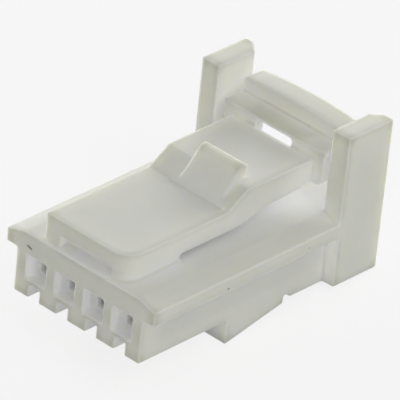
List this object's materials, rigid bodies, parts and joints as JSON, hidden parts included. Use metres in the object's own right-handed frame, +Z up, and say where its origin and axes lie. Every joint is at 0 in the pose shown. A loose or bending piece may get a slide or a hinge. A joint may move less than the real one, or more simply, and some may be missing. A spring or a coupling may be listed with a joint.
{
  "type": "wire to board connector housing",
  "caption": "Moulded rectangular crimp-terminal housing with a row of cavities, side rails, rear guard ears and an integral lock lever with thumb bar.",
  "frame": {"origin": "on the mating face, in the middle of the row of circuits and level with the pins", "axes": "+X across the row of circuits, +Y from the mating face to the wire entries, +Z up to the lock lever"},
  "size_m": [0.0102, 0.0166, 0.0097],
  "materials": {
    "housing": "natural translucent resin, fine satin"
  },
  "bodies": {
    "root": {"housing": "housing"}
  },
  "joints": []
}
